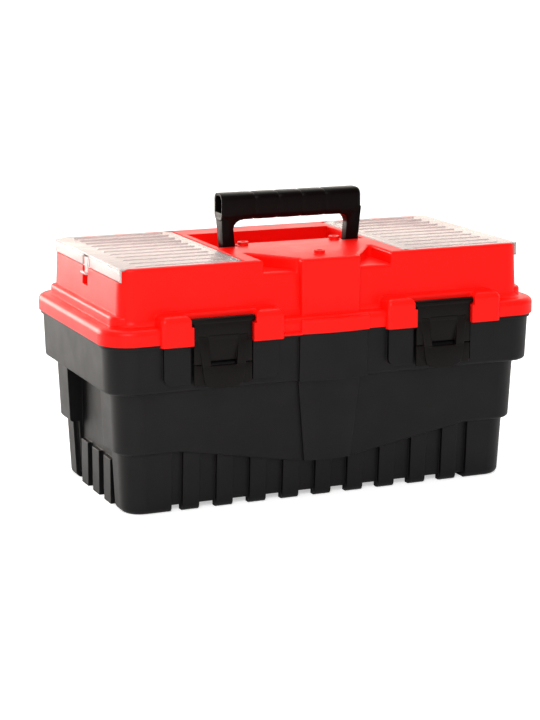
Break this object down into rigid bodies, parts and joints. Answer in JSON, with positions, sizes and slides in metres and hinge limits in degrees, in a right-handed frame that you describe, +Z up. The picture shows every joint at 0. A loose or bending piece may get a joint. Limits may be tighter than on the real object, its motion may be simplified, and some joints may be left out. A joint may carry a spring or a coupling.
{
  "type": "toolbox",
  "caption": "Plastic toolbox with hinged lid, clear-topped organizers in the lid, snap latches, fold-down carry handle and lift-out tray.",
  "frame": {"origin": "middle of the base on the floor, under the centre of the overall box", "axes": "+X along the length, front and latches face -Y, +Z up"},
  "size_m": [0.462, 0.256, 0.295],
  "materials": {
    "black_plastic": "moulded polypropylene, satin",
    "red_plastic": "moulded polypropylene, satin gloss",
    "black_plastic_handle": "moulded polypropylene, satin",
    "black_plastic_latch": "moulded polypropylene, satin",
    "clear_plastic": "clear moulded plastic",
    "pin_steel": "drawn steel wire",
    "tray_plastic": "moulded polypropylene, satin",
    "organizer_divider_plastic": "moulded polypropylene, satin"
  },
  "bodies": {
    "bin_body": {"bin": "black_plastic", "lid_hinge_pin_left": "pin_steel", "lid_hinge_pin_right": "pin_steel"},
    "lid_body": {"lid_shell": "red_plastic", "organizer_divider_left_1": "organizer_divider_plastic", "organizer_divider_left_2": "organizer_divider_plastic", "organizer_divider_left_3": "organizer_divider_plastic", "organizer_divider_right_1": "organizer_divider_plastic", "organizer_divider_right_2": "organizer_divider_plastic", "organizer_divider_right_3": "organizer_divider_plastic"},
    "handle_body": {"carry_handle": "black_plastic_handle"},
    "latch_left_body": {"latch_left": "black_plastic_latch"},
    "latch_right_body": {"latch_right": "black_plastic_latch"},
    "cover_left_body": {"organizer_cover_left": "clear_plastic"},
    "cover_right_body": {"organizer_cover_right": "clear_plastic"},
    "tray_body": {"tray": "tray_plastic", "tray_divider_1": "tray_plastic", "tray_divider_2": "tray_plastic", "tray_divider_3": "tray_plastic", "tray_divider_4": "tray_plastic"}
  },
  "joints": [
    {"name": "lid_hinge", "type": "hinge", "parent": "bin_body", "child": "lid_body", "pos_m": [0, 0.1235, 0.171], "axis": [-1, 0, 0], "range_deg": [0, 105]},
    {"name": "tray_lift", "type": "slide", "parent": "bin_body", "child": "tray_body", "axis": [0, 0, 1], "range_m": [0, 0.028]},
    {"name": "handle_fold", "type": "hinge", "parent": "lid_body", "child": "handle_body", "pos_m": [0, -0.01, 0.231], "axis": [-1, 0, 0], "range_deg": [0, 90]},
    {"name": "latch_left_swing", "type": "hinge", "parent": "lid_body", "child": "latch_left_body", "pos_m": [-0.117, -0.1215, 0.191], "axis": [-1, 0, 0], "range_deg": [0, 110]},
    {"name": "latch_right_swing", "type": "hinge", "parent": "lid_body", "child": "latch_right_body", "pos_m": [0.117, -0.1215, 0.191], "axis": [-1, 0, 0], "range_deg": [0, 110]},
    {"name": "cover_left_swing", "type": "hinge", "parent": "lid_body", "child": "cover_left_body", "pos_m": [-0.088, 0, 0.239], "axis": [0, 1, 0], "range_deg": [0, 95]},
    {"name": "cover_right_swing", "type": "hinge", "parent": "lid_body", "child": "cover_right_body", "pos_m": [0.088, 0, 0.239], "axis": [0, -1, 0], "range_deg": [0, 95]}
  ]
}
